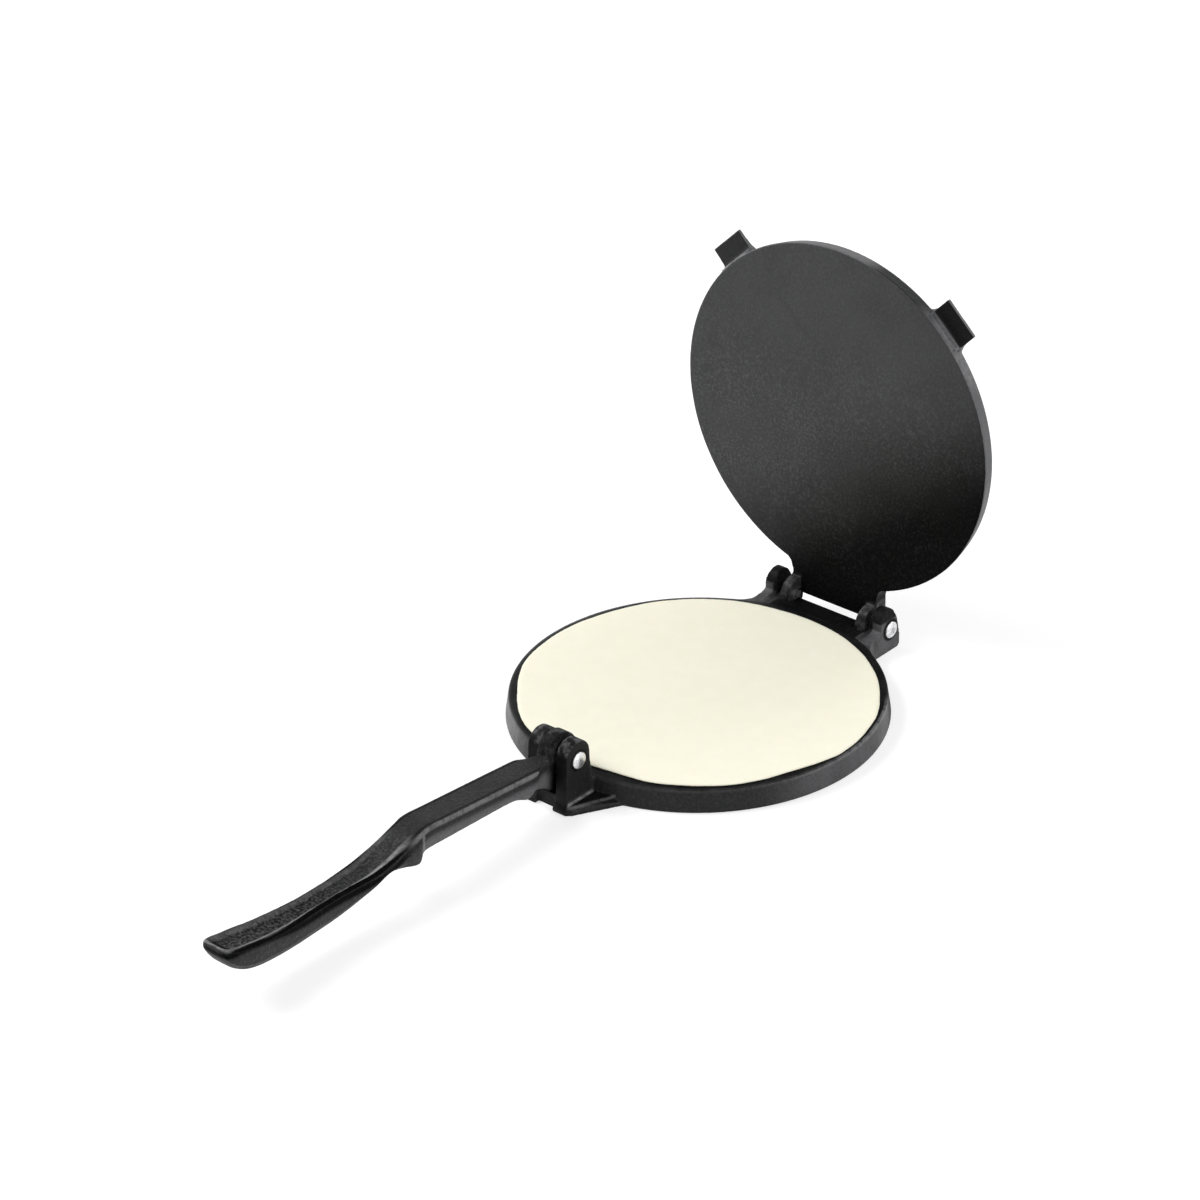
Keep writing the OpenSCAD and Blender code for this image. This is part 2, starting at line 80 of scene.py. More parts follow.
def camera():
    data = bpy.data.cameras.new("camera")
    data.sensor_width = SENSOR_MM
    data.lens = LENS_MM
    data.clip_start = CLIP_NEAR
    data.clip_end = CLIP_FAR
    cam = place_in_scene("camera", data)
    cam.matrix_world = Matrix((
        (RIGHT.x, UP.x, BACK.x, EYE.x),
        (RIGHT.y, UP.y, BACK.y, EYE.y),
        (RIGHT.z, UP.z, BACK.z, EYE.z),
        (0, 0, 0, 1)))
    SCENE.camera = cam


camera()
SCENE.view_settings.view_transform = "Standard"


# ---------- small helpers for materials ----------

class Net:
    """Builds one material's node tree from short calls. Masks run from 0 to 1."""

    def __init__(self, name):
        self.mat = bpy.data.materials.new(name)
        self.mat.use_nodes = True
        self.tree = self.mat.node_tree
        self.tree.nodes.clear()
        self.out = self.add("ShaderNodeOutputMaterial")
        own = self.add("ShaderNodeTexCoord")
        self.coord = own.outputs["Object"]
        self.facing = own.outputs["Normal"]
        self.pointiness = self.add("ShaderNodeNewGeometry").outputs["Pointiness"]

    def add(self, kind, **settings):
        n = self.tree.nodes.new(kind)
        for k, v in settings.items():
            setattr(n, k, v)
        return n

    def link(self, a, b):
        self.tree.links.new(a, b)

    def put(self, socket, value):
        if isinstance(value, bpy.types.NodeSocket):
            self.link(value, socket)
        else:
            socket.default_value = value

    def math(self, op, a, b=0.0, c=None, clamp=False):
        n = self.add("ShaderNodeMath", operation=op, use_clamp=clamp)
        self.put(n.inputs[0], a)
        self.put(n.inputs[1], b)
        if c is not None:
            self.put(n.inputs[2], c)
        return n.outputs[0]

    def times(self, *values):
        out = values[0]
        for v in values[1:]:
            out = self.math("MULTIPLY", out, v)
        return out

    def plus(self, a, b):
        return self.math("ADD", a, b)

    def minus(self, a, b, clamp=False):
        return self.math("SUBTRACT", a, b, clamp=clamp)

    def outside(self, mask):
        return self.minus(1.0, mask)

    def most(self, *values):
        """The largest of the values."""
        out = values[0]
        for v in values[1:]:
            out = self.math("MAXIMUM", out, v)
        return out

    def hypot(self, a, b):
        return self.math("SQRT", self.plus(self.times(a, a), self.times(b, b)))

    def ramp(self, value, low, high, to_low=0.0, to_high=1.0):
        """A smooth step: to_low where value is low or past it, to_high where it is high."""
        n = self.add("ShaderNodeMapRange", interpolation_type="SMOOTHSTEP")
        self.put(n.inputs["Value"], value)
        for name, v in (("From Min", low), ("From Max", high),
                        ("To Min", to_low), ("To Max", to_high)):
            n.inputs[name].default_value = v
        return n.outputs["Result"]

    def between(self, value, low, high, soft):
        """1 where value lies between low and high, falling off over soft."""
        up = self.ramp(value, low - soft, low + soft)
        down = self.ramp(value, high - soft, high + soft, 1.0, 0.0)
        return self.times(up, down)

    def noise(self, size_mm, detail=3.0, rough=0.55, distortion=0.0):
        n = self.add("ShaderNodeTexNoise")
        self.link(self.coord, n.inputs["Vector"])
        n.inputs["Scale"].default_value = 1000.0 / size_mm
        n.inputs["Detail"].default_value = detail
        n.inputs["Roughness"].default_value = rough
        n.inputs["Distortion"].default_value = distortion
        return n.outputs["Fac"]

    def cells(self, size_mm, feature="F1"):
        n = self.add("ShaderNodeTexVoronoi", feature=feature)
        self.link(self.coord, n.inputs["Vector"])
        n.inputs["Scale"].default_value = 1000.0 / size_mm
        return n.outputs["Distance"]

    def mix(self, fac, a, b):
        n = self.add("ShaderNodeMix", data_type="RGBA")
        self.put(n.inputs["Factor"], fac)
        self.put(n.inputs[6], a)
        self.put(n.inputs[7], b)
        return n.outputs[2]

    def bump(self, height, distance_mm, strength, normal=None):
        n = self.add("ShaderNodeBump")
        n.inputs["Distance"].default_value = distance_mm * MM
        n.inputs["Strength"].default_value = strength
        self.link(height, n.inputs["Height"])
        if normal is not None:
            self.link(normal, n.inputs["Normal"])
        return n.outputs["Normal"]

    def parts(self, socket):
        n = self.add("ShaderNodeSeparateXYZ")
        self.link(socket, n.inputs[0])
        return n.outputs

    def shader(self, **values):
        n = self.add("ShaderNodeBsdfPrincipled")
        for k, v in values.items():
            self.put(n.inputs[k.replace("_", " ")], v)
        self.link(n.outputs[0], self.out.inputs["Surface"])


def rgb(r, g, b):
    return (r, g, b, 1.0)


def grey(value):
    return rgb(value, value, value)


# ---------- cast iron ----------

# a paler iron colour, painted where light falls or glances off
PAINTED_LIGHT_IRON = rgb(0.098, 0.098, 0.102)
# a pale iron colour for worn edges and for painted highlights
WEAR_AND_HIGHLIGHT_IRON = rgb(0.190, 0.190, 0.194)
PIT_BLACK = grey(0.004)
LIGHT_SHARE = 0.90
SHADE_AND_STAIN_SHARE = 0.95
IRON_ROUGHNESS = 0.50
# how much of the gloss the painted shade and stains, or a crease, take away
MATT_SHARE = 0.94


def cast_iron(name, tint, shade, flecks, grain=1.0, shine=0.24):
    """Seasoned cast iron: sand-cast grain, uneven seasoning, worn edges and a few fine pits, with
    painted light and shade.

    shade is a function of the Net that returns four masks: extra grain, painted shade (with real
    stains where a part has them), painted light, and painted highlights.
    """
    m = Net(name)
    coarse, shade_and_stain, painted_light, painted_highlights = shade(m)
    sand = m.noise(1.5, 4.0, 0.62)
    fine = m.noise(0.5, 2.0, 0.5)
    lumps = m.cells(2.3, "SMOOTH_F1")
    swell = m.noise(16.0, 3.0, 0.5)
    patches = m.noise(34.0, 4.0, 0.6, distortion=0.6)
    pits = m.ramp(m.cells(6.0), 0.05, 0.12, 1.0, 0.0)

    def shaded(k):
        return rgb(*[c * k for c in tint])

    # colour: uneven seasoning, then painted light and painted shade (with real stains where a part
    # has them)
    base = m.mix(m.ramp(patches, 0.30, 0.72), shaded(0.75), shaded(1.2))
    base = m.mix(m.times(painted_light, LIGHT_SHARE), base, PAINTED_LIGHT_IRON)
    # painted shade, with real stains where a part has them, darkens the iron to near black
    base = m.mix(m.times(shade_and_stain, SHADE_AND_STAIN_SHARE), base, shaded(0.06))
    # pale and dark grains of the sand cast surface, the pale ones partly painted glints; painted
    # shade hides the pale ones
    pale_grains_and_glints = m.times(m.ramp(sand, 0.47, 0.70), m.plus(flecks, m.times(coarse, 0.45)))
    pale_grains_and_glints = m.times(pale_grains_and_glints, m.outside(m.times(shade_and_stain, 0.75)))
    base = m.mix(pale_grains_and_glints, base, shaded(8.0))
    dark = m.math("MULTIPLY_ADD", coarse, 0.5, flecks * 1.8)
    dark = m.math("MULTIPLY", m.ramp(sand, 0.50, 0.30), dark, clamp=True)
    base = m.mix(dark, base, shaded(0.12))
    # worn edges and painted highlights, painted shade in the creases, and pits
    wear_and_highlights = m.ramp(m.pointiness, 0.520, 0.60, 0.0, 0.32)
    wear_and_highlights = m.most(m.times(wear_and_highlights, m.outside(shade_and_stain)), painted_highlights)
    wear_and_highlights = m.times(wear_and_highlights, m.ramp(m.noise(4.0, 4.0, 0.65), 0.34, 0.58, 0.40, 1.0))
    base = m.mix(wear_and_highlights, base, WEAR_AND_HIGHLIGHT_IRON)
    # painted shade in concave creases, which also takes gloss away
    crease_shade = m.ramp(m.pointiness, 0.490, 0.42, 0.0, 0.9)
    base = m.mix(crease_shade, base, shaded(0.15))
    base = m.mix(m.times(pits, 0.6), base, PIT_BLACK)

    roughness = m.ramp(patches, 0.28, 0.75, IRON_ROUGHNESS - 0.07, IRON_ROUGHNESS + 0.08)
    roughness = m.plus(roughness, m.times(m.minus(fine, 0.5), 0.20))
    roughness = m.minus(roughness, m.times(wear_and_highlights, 0.10), clamp=True)
    gloss = m.outside(m.times(m.most(shade_and_stain, crease_shade), MATT_SHARE))
    # coarse grain glitters: some grains shine more, most shine less
    pepper = m.plus(m.ramp(sand, 0.40, 0.66, -0.85, 0.55), m.ramp(fine, 0.42, 0.60, -0.25, 0.45))
    gloss = m.times(gloss, m.math("MULTIPLY_ADD", coarse, pepper, 1.0), shine)

    strong = m.plus(m.times(coarse, 1.6), grain)
    height = m.plus(m.times(sand, 0.75), m.times(lumps, -0.35))
    height = m.plus(height, m.times(fine, 0.18))
    height = m.times(height, strong)
    height = m.minus(height, m.times(pits, 0.5))
    normal = m.bump(swell, 0.6, 0.6)
    normal = m.bump(height, 0.26, 0.9, normal)
    m.shader(Base_Color=base, Roughness=roughness, Normal=normal, Metallic=0.0,
             Specular_IOR_Level=gloss)
    return m.mat


# Y and Z of the two hinge axes, and Z of the open upper plate's centre
PLATE_HINGE = (0.1141, 0.0131)
LEVER_HINGE = (-0.1102, 0.0272)
PLATE_CENTRE_Z = 0.1272


def from_pins(m, y, z):
    """Distance from the nearer of the two hinge axes."""
    hinge, lever = [m.hypot(m.minus(y, axis[0]), m.minus(z, axis[1]))
                    for axis in (PLATE_HINGE, LEVER_HINGE)]
    return m.math("MINIMUM", hinge, lever)


# The masks below say where on a casting a look lies. Their numbers are places on the solid, in
# metres from the frame's origin at rest, or parts of the normal where the first value is up or
# turned. The last two numbers of a ramp, where it has them, are the strengths it runs between.

def base_shade(m):
    """Painted shade on the top margin, clevis and hinge; painted light on the skirt, strongest at
    its sides; painted highlights on edges.
    """
    grit = 0.08
    x, y, z = m.parts(m.coord)
    turned_right, _, up = m.parts(m.facing)
    top = m.ramp(up, 0.55, 0.9)
    walls = m.outside(top)
    radius = m.hypot(x, y)
    wide = m.math("ABSOLUTE", x)
    ears = m.times(m.ramp(y, 0.086, 0.094), m.ramp(wide, 0.0285, 0.0305),
                   m.most(m.ramp(radius, 0.0998, 0.1008), m.ramp(z, 0.0140, 0.0155)))
    clevis = m.times(m.ramp(y, -0.0995, -0.1035), m.ramp(z, 0.005, 0.015, 0.6, 1.0))
    bridge = m.minus(m.ramp(y, 0.088, 0.098), ears, clamp=True)
    ends = m.most(clevis, bridge)
    # painted shade: the hinge ears are black over their tops and beside the knuckles
    cap = m.times(m.ramp(z, 0.0150, 0.0195),
                  m.most(m.ramp(up, 0.40, 0.85), m.ramp(z, 0.0185, 0.0200)))
    inner = m.times(m.ramp(wide, 0.0352, 0.0335), m.ramp(z, 0.0120, 0.0145))
    cap = m.times(m.most(cap, inner), ears)
    # painted shade: the skirt between the right ear and the middle of that side is black too
    back_right = m.times(m.ramp(x, 0.020, 0.040), m.ramp(y, 0.048, 0.060), m.outside(ears))

    # painted shade: the front of the skirt is darker, and the top margin is dark, lighter towards
    # the back left as painted reflection
    front = m.times(walls, m.between(x, 0.008, 0.088, 0.008), m.ramp(y, -0.030, -0.055), 0.12)
    margin = m.times(m.minus(top, ears, clamp=True),
                     m.ramp(m.minus(y, x), 0.020, 0.100, 0.85, 0.25))
    # painted shadow: a dark ring round each pin
    around_pins = m.ramp(from_pins(m, y, z), 0.0072, 0.0056, 0.0, 0.92)
    # painted shade on the clevis and the hinge bridge, less on faces turned right; all of it varies
    # at random
    shade_and_stain = m.most(margin, front, m.times(ends, m.ramp(turned_right, 0.3, 0.8, 0.85, 0.55)),
                  around_pins, m.times(cap, 0.85), m.times(back_right, walls, 0.90))
    shade_and_stain = m.times(shade_and_stain, m.ramp(m.noise(12.0, 3.0), 0.3, 0.7, 0.80, 1.0))

    # painted light: the skirt is paler at its sides and palest at the left, standing in for
    # glancing reflections; the hinge ears get painted light too
    right = m.times(m.ramp(x, 0.050, 0.080), m.ramp(y, -0.060, -0.016))
    sides = m.most(m.ramp(x, -0.030, -0.055, 0.03, 1.0), right)
    painted_light = m.times(walls, m.outside(ends), sides, m.ramp(m.noise(22.0, 3.0), 0.3, 0.7, 0.6, 1.0))
    painted_light = m.most(painted_light, m.times(ears, m.ramp(m.noise(7.0, 3.0), 0.35, 0.65, 0.45, 1.0)))
    painted_light = m.times(painted_light, m.outside(around_pins), m.outside(cap), m.outside(back_right))

    # painted highlights: a line along the base's upper rim, the lower left of the skirt, the clevis
    # crown, the foot flange's edge and its bevelled brow
    rim = m.times(m.between(radius, 0.0985, 0.1006, 0.0005), m.between(z, 0.0113, 0.0132, 0.0006),
                  m.ramp(y, -0.05, 0.03, 0.10, 0.70), m.ramp(y, 0.090, 0.084),
                  m.outside(back_right))
    left = m.times(walls, m.ramp(x, -0.030, -0.055), m.ramp(z, 0.0125, 0.0105),
                   m.ramp(y, 0.030, -0.050, 0.20, 0.50))
    crown = m.times(m.ramp(z, 0.0290, 0.0335), m.ramp(up, 0.15, 0.6),
                    m.ramp(m.noise(4.0, 3.0), 0.38, 0.68))
    foot = m.times(m.between(wide, 0.0138, 0.0150, 0.0004), m.ramp(y, -0.1000, -0.1020),
                   m.between(z, 0.0040, 0.0058, 0.0006))
    # the bevelled upper edge of the foot flange runs slantwise from the ear to the skirt
    slant = m.plus(m.times(wide, 0.915), m.times(y, -0.405))
    brow = m.times(m.between(slant, 0.0622, 0.0639, 0.0004), m.ramp(y, -0.0950, -0.0975),
                   m.between(z, 0.0034, 0.0054, 0.0006))
    painted_highlights = m.most(rim, left, m.times(brow, 0.5), m.times(crown, 0.45), foot)
    return grit, shade_and_stain, painted_light, painted_highlights


def upper_shade(m):
    """Painted shade darkens the pressing face towards the hinge and the right; its side wall gets
    painted light.
    """
    x, y, z = m.parts(m.coord)
    turned = m.parts(m.facing)[1]
    side = m.ramp(turned, -0.80, -0.45)
    face = m.outside(side)
    wall = m.times(side, m.ramp(turned, 0.60, 0.35))
    back = m.ramp(turned, 0.45, 0.75)
    # painted shade: the upper right of the side wall, from the top to the tab, is darkened as the
    # face is
    corner = m.times(wall, m.between(x, 0.024, 0.060, 0.008), m.ramp(z, 0.185, 0.200), 0.80)
    # the knuckles get painted highlight streaks and less of the hinge's painted shade
    knuckles = m.times(m.ramp(m.math("ABSOLUTE", x), 0.0218, 0.0230), m.ramp(z, 0.026, 0.022),
                       m.ramp(m.noise(5.0, 3.0), 0.40, 0.60, 0.3, 1.0))

    # painted shade: the face darkens towards the hinge and the right, standing in for the
    # reflection of the dark base
    fall = m.minus(z, m.times(x, 0.70))
    fall = m.plus(fall, m.times(m.minus(m.noise(45.0, 3.0), 0.5), 0.030))
    face_shade = m.times(m.ramp(fall, 0.140, 0.034), face)
    # painted shade near the hinge and on the tabs' faces; the back has real stains
    hinge = m.times(m.ramp(z, 0.036, 0.028), 0.85)
    hinge = m.minus(hinge, m.times(knuckles, 0.65), clamp=True)
    reach = m.hypot(x, m.minus(z, PLATE_CENTRE_Z))
    tabs = m.times(m.ramp(reach, 0.1004, 0.1014), face, m.ramp(x, -0.02, 0.02, 0.55, 0.85))
    stained = m.ramp(m.noise(30.0, 4.0, 0.6, distortion=0.5), 0.38, 0.66)
    shade_and_stain = m.most(face_shade, hinge, tabs, corner, m.times(back, stained, 0.45))

    # painted light: the side wall, and a little of the back, paler higher up
    painted_light = m.times(m.most(wall, m.times(back, 0.30)), m.ramp(z, 0.03, 0.06, 0.0, 0.75))
    painted_light = m.times(painted_light, m.outside(corner))

    # painted highlights: along the side wall's edge, at the right tab's root and on the knuckles
    edge = m.times(side, m.ramp(turned, 0.1, -0.35), m.ramp(z, 0.04, 0.08), 0.35,
                   m.outside(corner))
    root = m.times(wall, m.between(x, 0.064, 0.088, 0.003), m.ramp(z, 0.155, 0.170),
                   m.ramp(m.noise(3.0, 3.0), 0.35, 0.62, 0.2, 0.55))
    painted_highlights = m.most(edge, root, m.times(knuckles, 0.22))
    grit = m.times(face, m.ramp(z, 0.190, 0.110, 0.0, 0.16),
                   m.ramp(m.noise(38.0, 3.0), 0.35, 0.60, 0.4, 1.0))
    return grit, shade_and_stain, painted_light, painted_highlights


def lever_shade(m):
    """Coarse sand grain in the grip's dish, painted highlights on rims, ridges and the head,
    painted shade on the top, the head, the dish and under the rims.
    """
    x, y, z = m.parts(m.coord)
    up = m.parts(m.facing)[2]
    wide = m.math("ABSOLUTE", x)
    # half width of the top and its height along the lever, as the solid has them
    half = m.plus(m.ramp(y, -0.225, -0.278, 0.0090, 0.0064), m.ramp(y, -0.288, -0.330, 0.0, 0.0028))
    share = m.math("DIVIDE", wide, half)
    beam_top = m.math("MULTIPLY_ADD", y, -0.0874, 0.0188)
    crest = m.plus(m.math("MINIMUM", beam_top, m.ramp(y, -0.213, -0.250, 0.0374, 0.0292)),
                   m.ramp(y, -0.295, -0.350, 0.0, 0.0078))
    below = m.minus(crest, z)
    grip = m.ramp(y, -0.222, -0.236)
    head = m.ramp(y, -0.127, -0.119)
    flank = m.ramp(up, 0.45, 0.2)
    dish = m.times(grip, m.ramp(up, 0.5, 0.75), m.ramp(share, 0.85, 0.70),
                   m.ramp(y, -0.3535, -0.3500))

    # painted shade: the grip's outer band, a crescent inside the tip, a groove line along the top,
    # bands under the rim and the ridge, the beam's top, the head and the dish
    outer = m.times(grip, m.ramp(share, 0.90, 0.97), m.ramp(up, 0.05, 0.45))
    crescent = m.times(m.between(y, -0.3512, -0.3480, 0.0007), m.ramp(share, 0.80, 0.65),
                       m.ramp(up, 0.3, 0.6))
    groove = m.times(m.ramp(up, 0.5, 0.8), m.between(wide, 0.0062, 0.0078, 0.0007),
                     m.ramp(y, -0.236, -0.228))
    under_rim = m.times(flank, m.between(below, 0.0020, 0.0058, 0.0012), grip)
    under_ridge = m.times(flank, m.between(below, 0.0022, 0.0056, 0.0012),
                          m.ramp(y, -0.236, -0.222))
    top = m.times(m.ramp(up, 0.6, 0.9), 0.45)
    shade_and_stain = m.most(m.times(groove, 0.9), m.times(top, m.outside(dish)), m.times(head, 0.80),
                  m.times(under_rim, 0.95), crescent, outer, m.times(under_ridge, 0.45),
                  m.times(dish, 0.35))

    # painted light: the sides are paler further below the top edge, mostly on the beam
    painted_light = m.times(flank, m.outside(head), m.ramp(below, 0.003, 0.009, 0.10, 1.0),
                  m.ramp(y, -0.225, -0.217, 0.10, 0.9), m.ramp(up, -0.80, -0.40, 0.15, 1.0))

    # painted highlights: the grip's rims and tip, the beam's top ridge, the head's barrel, the
    # beam's lower sides and a crease line at the knob
    rim = m.times(grip, m.between(share, 0.58, 0.90, 0.09), m.ramp(up, 0.05, 0.45),
                  m.ramp(x, -0.001, 0.001, 0.30, 1.0))
    tip = m.times(m.ramp(y, -0.3515, -0.3530), m.ramp(up, 0.2, 0.6), 0.9)
    ridge = m.times(m.ramp(y, -0.232, -0.222), m.ramp(y, -0.128, -0.136),
                    m.ramp(wide, 0.0080, 0.0087), m.between(below, -0.0008, 0.0024, 0.0008),
                    m.ramp(x, -0.001, 0.001, 0.3, 0.75))
    barrel = m.times(head, m.ramp(m.noise(5.0, 3.0), 0.40, 0.72, 0.0, 0.32),
                     m.ramp(z, 0.024, 0.028))
    beam = m.times(m.ramp(y, -0.2215, -0.2185), m.outside(head))
    lower = m.times(beam, m.ramp(up, -0.80, -0.40), m.ramp(up, 0.35, 0.1),
                    m.ramp(below, 0.0055, 0.0100), m.ramp(x, -0.001, 0.001, 0.15, 0.30))
    crease = m.times(m.between(y, -0.2207, -0.2187, 0.0005), m.ramp(below, 0.0, 0.002),
                     m.ramp(z, 0.0215, 0.0230), m.ramp(wide, 0.0060, 0.0080), 0.75)
    painted_highlights = m.most(rim, barrel, ridge, tip, lower, crease)
    grit = m.plus(m.times(dish, m.ramp(y, -0.245, -0.300, 0.30, 0.85)), 0.12)
    return grit, shade_and_stain, painted_light, painted_highlights


# ---------- steel and dough ----------

STEEL_DARK = rgb(0.62, 0.62, 0.63)
STEEL_PALE = rgb(0.86, 0.86, 0.87)
STEEL_STAIN = rgb(0.30, 0.30, 0.31)
STEEL_DIMPLE_SHADE = rgb(0.22, 0.22, 0.23)
TAIL_BLACK = grey(0.012)


def steel_pin():
    m = Net("zinc_pin")
    x, y, z = m.parts(m.coord)
    hammered = m.noise(1.6, 2.0)
    fine = m.noise(0.35, 2.0)
    tone = m.mix(m.ramp(hammered, 0.35, 0.7), STEEL_DARK, STEEL_PALE)
    tone = m.mix(m.ramp(m.noise(2.4, 4.0), 0.60, 0.75, 0.0, 0.5), tone, STEEL_STAIN)
    # the head is bright, with painted shade of a dimple at its middle
    dimple_shade = m.times(m.ramp(from_pins(m, y, z), 0.0024, 0.0010),
                     m.ramp(m.noise(1.2, 2.0), 0.35, 0.60, 0.2, 0.8))
    tone = m.mix(dimple_shade, tone, STEEL_DIMPLE_SHADE)
    # the hinge pins' inner ends, in and beside the knuckles, are painted near black
    tail = m.between(m.math("ABSOLUTE", x), 0.0200, 0.0270, 0.0005)
    tone = m.mix(tail, tone, TAIL_BLACK)
    roughness = m.ramp(fine, 0.3, 0.7, 0.24, 0.40)
    normal = m.bump(hammered, 0.18, 0.7)
    normal = m.bump(fine, 0.03, 0.5, normal)
    m.shader(Base_Color=tone, Roughness=roughness, Normal=normal, Metallic=0.9)
    return m.mat


DOUGH_DEEP = rgb(0.926, 0.888, 0.726)
DOUGH_PALE = rgb(0.946, 0.908, 0.750)
DOUGH_FLECK = rgb(0.90, 0.82, 0.62)


def dough_skin():
    m = Net("dough_skin")
    flecks = m.ramp(m.cells(3.3), 0.05, 0.16, 1.0, 0.0)
    flecks = m.times(flecks, m.ramp(m.noise(7.0), 0.50, 0.66))
    mottle = m.noise(11.0, 4.0, 0.6)
    grain = m.noise(0.8, 3.0)
    tone = m.mix(m.ramp(mottle, 0.3, 0.7), DOUGH_DEEP, DOUGH_PALE)
    tone = m.mix(m.times(flecks, 0.35), tone, DOUGH_FLECK)
    height = m.plus(m.times(grain, 0.4), m.times(m.noise(3.0, 3.0), 0.6))
    normal = m.bump(height, 0.12, 0.5)
    m.shader(Base_Color=tone, Roughness=0.72, Normal=normal, Subsurface_Weight=0.08,
             Subsurface_Scale=0.004)
    return m.mat


def paint(obj, mat):
    obj.data.materials.clear()
    obj.data.materials.append(mat)


# ---------- cast bodies: the solids' edges are rounded as a sand casting's are ----------

IRON_TINT = (0.0110, 0.0111, 0.0116)
# the upper plate is painted about three and a half times paler than the base and the lever, as
# painted light for its lit pressing face
LIT_FACE_TINT = (0.0385, 0.0390, 0.0412)
SMOOTH_FACTOR = 0.5


def cast_skin(node, mat, voxel_mm, rounds):
    obj = NODES[node]
    paint(obj, mat)
    grow = 1.0
    remesh = obj.modifiers.new("cast_skin", "REMESH")
    remesh.mode = "VOXEL"
    remesh.voxel_size = voxel_mm * grow * MM
    remesh.use_smooth_shade = True
    smooth = obj.modifiers.new("cast_edges", "SMOOTH")
    smooth.factor = SMOOTH_FACTOR
    smooth.iterations = rounds


cast_skin("base_plate", cast_iron("cast_iron_base", IRON_TINT, base_shade, flecks=0.12), 0.50, 3)
cast_skin("upper_plate", cast_iron("cast_iron_upper", LIT_FACE_TINT, upper_shade, grain=0.7,
                                   shine=0.30, flecks=0.055), 0.55, 3)
cast_skin("lever_handle", cast_iron("cast_iron_lever", IRON_TINT, lever_shade, grain=1.1,
                                    flecks=0.16), 0.40, 4)


# ---------- pins ----------

PIN_MAT = steel_pin()
for name in ("hinge_pin_left", "hinge_pin_right", "lever_pin"):
    paint(NODES[name], PIN_MAT)
    for face in NODES[name].data.polygons:
        face.use_smooth = True


# ---------- dough: a pressed round with a slightly uneven edge ----------

# radius of the pressed edge in millimetres, every 20 degrees from +X
DOUGH_EDGE_MM = (98.0, 97.3, 95.5, 95.0, 94.8, 94.8, 96.4, 96.2, 95.4, 96.0, 96.7, 94.8, 96.2,
                 94.4, 92.8, 95.6, 96.5, 95.0)
DOUGH_LIP = 0.0011
AROUND = 360
RINGS = 44


def dough_edge(angle):
    """The round's radius at an angle, with a fine crumble."""
    count = len(DOUGH_EDGE_MM)
    turn = (angle / (2 * math.pi) * count) % count
    k = int(turn)
    t = turn - k
    t = t * t * (3 - 2 * t)
    r = DOUGH_EDGE_MM[k] * (1 - t) + DOUGH_EDGE_MM[(k + 1) % count] * t
    p = Vector((math.cos(angle) * 9, math.sin(angle) * 9, 0.3))
    return r * MM + 0.0003 * noise.noise(p) + 0.00012 * noise.noise(p * 5.0)


def dough_round():
    low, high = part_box("dough_round")
    centre = (low + high) / 2
    reach = (high.x - low.x) / 2
    bottom, top = low.z, high.z
    lip = DOUGH_LIP
    verts, faces = [], []

    def ring(share, z, wobble=0.0):
        start = len(verts)
        for i in range(AROUND):
            a = 2 * math.pi * i / AROUND
            r = dough_edge(a) * share
            x, y = centre.x + r * math.cos(a), centre.y + r * math.sin(a)
            dz = wobble * noise.noise(Vector((x * 60, y * 60, 0.0)))
            verts.append((x, y, z + dz))
        return start

    # the edge bulges out from the bottom and turns in over a soft lip
    profile = [(1 - lip * 3 / reach, bottom), (1 - lip / reach * 0.6, bottom + 0.00015),
               (1.0, bottom + 0.0005), (1 - lip / reach * 0.25, bottom + 0.0009),
               (1 - lip / reach * 0.9, top - 0.00012), (1 - lip * 2.2 / reach, top - 0.00002)]
    starts = [ring(share, z) for share, z in profile]
    flat = top - 0.00004
    for k in range(1, RINGS):
        starts.append(ring((1 - lip * 2.2 / reach) * (1 - k / RINGS), flat, 0.00006))
    for a, b in zip(starts, starts[1:]):
        for i in range(AROUND):
            j = (i + 1) % AROUND
            faces.append((a + i, a + j, b + j, b + i))
    verts.append((centre.x, centre.y, flat))
    mid = len(verts) - 1
    for i in range(AROUND):
        faces.append((starts[-1] + i, starts[-1] + (i + 1) % AROUND, mid))
    underside = tuple(range(AROUND - 1, -1, -1))
    faces.append(underside)

    mesh = bpy.data.meshes.new("dough_skin_mesh")
    mesh.from_pydata(verts, [], faces)
    mesh.update()
    for f in mesh.polygons:
        f.use_smooth = len(f.vertices) < len(underside)
    return place_in_scene("dough_round_skin", mesh)


dough = dough_round()
paint(dough, dough_skin())
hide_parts("dough_round")
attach(dough, "base")


# ---------- studio ----------

FLOOR_HALF = 6.0
FLOOR_GREY = grey(0.55)
# the floor's own light, for the rays that see it: with its lit grey it comes out white
FLOOR_GLOW = 0.58
WHITE = grey(1)
# strength of the white world on the object; the rays that see the world get 1
AMBIENT = 0.31
# name, place, the point it looks at, its two sides and its watts
SOFTBOXES = (
    ("key", (-1.3, -0.9, 1.7), (0, 0.05, 0.08), (1.3, 1.0), 34),
    ("right", (1.8, 0.15, 0.9), (0, 0.05, 0.08), (0.8, 1.2), 20),
    ("left", (-1.8, 0.3, 0.6), (0, 0, 0.05), (0.5, 1.0), 9),
    ("back", (0.3, 1.6, 1.5), (0, 0.1, 0.1), (1.4, 0.6), 10),
)


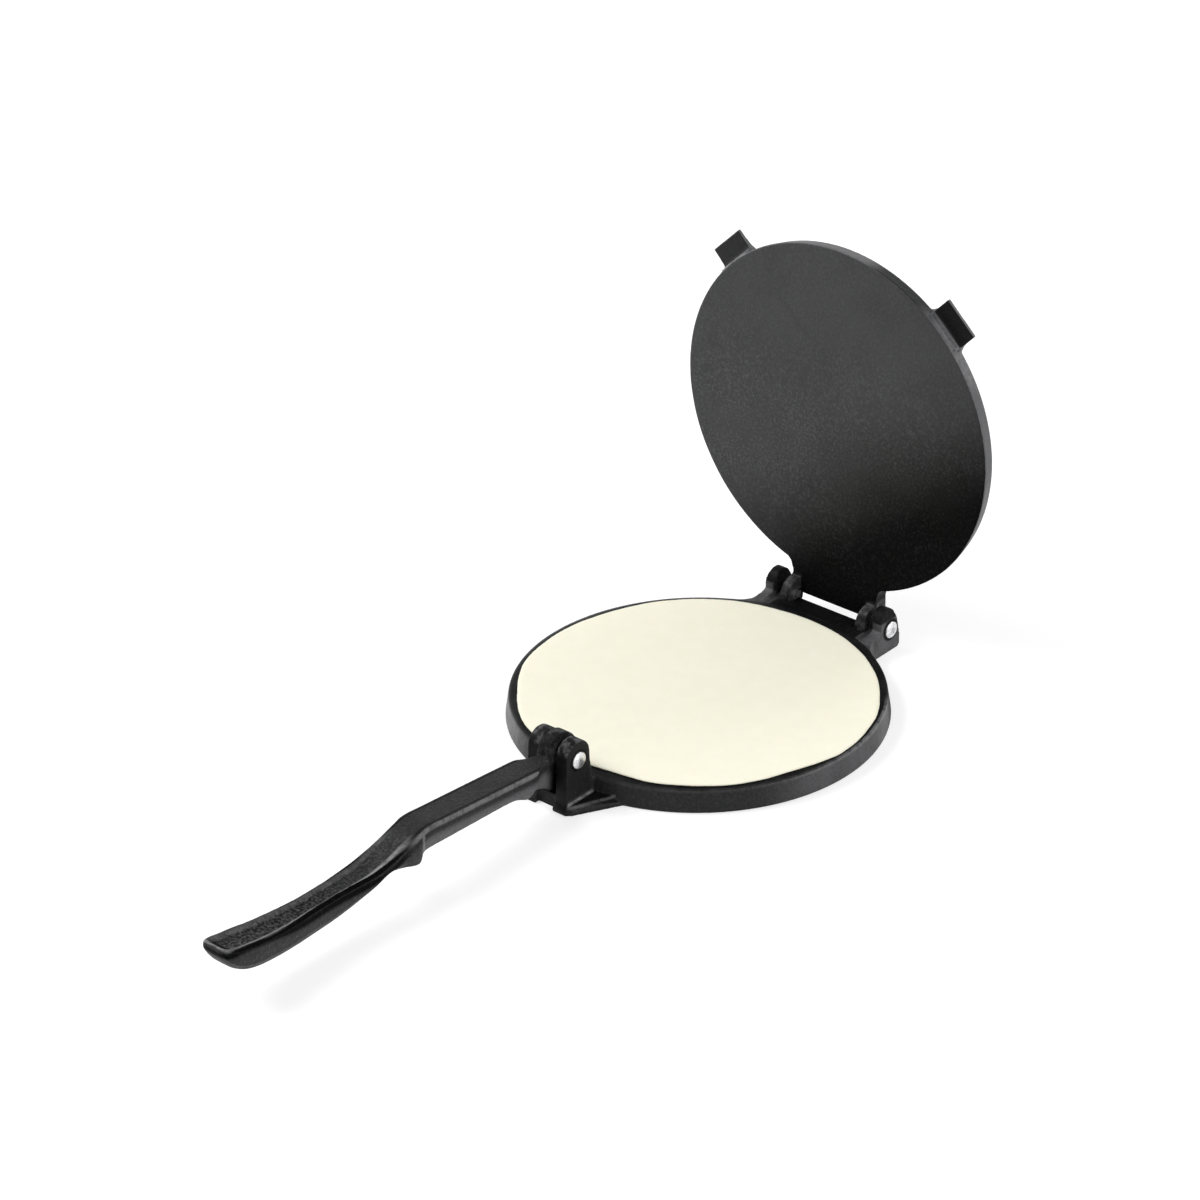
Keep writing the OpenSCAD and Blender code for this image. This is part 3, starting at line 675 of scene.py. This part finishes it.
def seeing_rays(tree):
    """1 for camera, glossy and transmission rays, 0 for the rays that light the object."""
    path = tree.nodes.new("ShaderNodeLightPath")
    seen = path.outputs["Is Camera Ray"]
    for ray in ("Is Glossy Ray", "Is Transmission Ray"):
        either = tree.nodes.new("ShaderNodeMath")
        either.operation = "MAXIMUM"
        tree.links.new(seen, either.inputs[0])
        tree.links.new(path.outputs[ray], either.inputs[1])
        seen = either.outputs[0]
    return seen


def floor():
    mesh = bpy.data.meshes.new("floor")
    s = FLOOR_HALF
    mesh.from_pydata([(-s, -s, 0), (s, -s, 0), (s, s, 0), (-s, s, 0)], [], [(0, 1, 2, 3)])
    obj = place_in_scene("floor", mesh)
    m = Net("pale_floor")
    diffuse = m.add("ShaderNodeBsdfDiffuse")
    diffuse.inputs["Color"].default_value = FLOOR_GREY
    glow = m.add("ShaderNodeEmission")
    m.put(glow.inputs["Strength"], m.times(seeing_rays(m.tree), FLOOR_GLOW))
    both = m.add("ShaderNodeAddShader")
    m.link(diffuse.outputs[0], both.inputs[0])
    m.link(glow.outputs[0], both.inputs[1])
    m.link(both.outputs[0], m.out.inputs["Surface"])
    obj.data.materials.append(m.mat)


def softbox(name, place, target, size, watts):
    data = bpy.data.lights.new(name, "AREA")
    data.shape = "RECTANGLE"
    data.size, data.size_y = size
    data.energy = watts
    obj = place_in_scene(name, data)
    obj.location = place
    obj.rotation_euler = (Vector(target) - Vector(place)).to_track_quat("-Z", "Y").to_euler()


def world():
    w = bpy.data.worlds.new("studio")
    SCENE.world = w
    w.use_nodes = True
    t = w.node_tree
    t.nodes.clear()
    out = t.nodes.new("ShaderNodeOutputWorld")
    back = t.nodes.new("ShaderNodeBackground")
    pick = t.nodes.new("ShaderNodeMapRange")
    t.links.new(seeing_rays(t), pick.inputs["Value"])
    pick.inputs["To Min"].default_value = AMBIENT
    pick.inputs["To Max"].default_value = 1.0
    t.links.new(pick.outputs["Result"], back.inputs["Strength"])
    back.inputs["Color"].default_value = WHITE
    t.links.new(back.outputs[0], out.inputs["Surface"])


floor()
for box in SOFTBOXES:
    softbox(*box)
world()
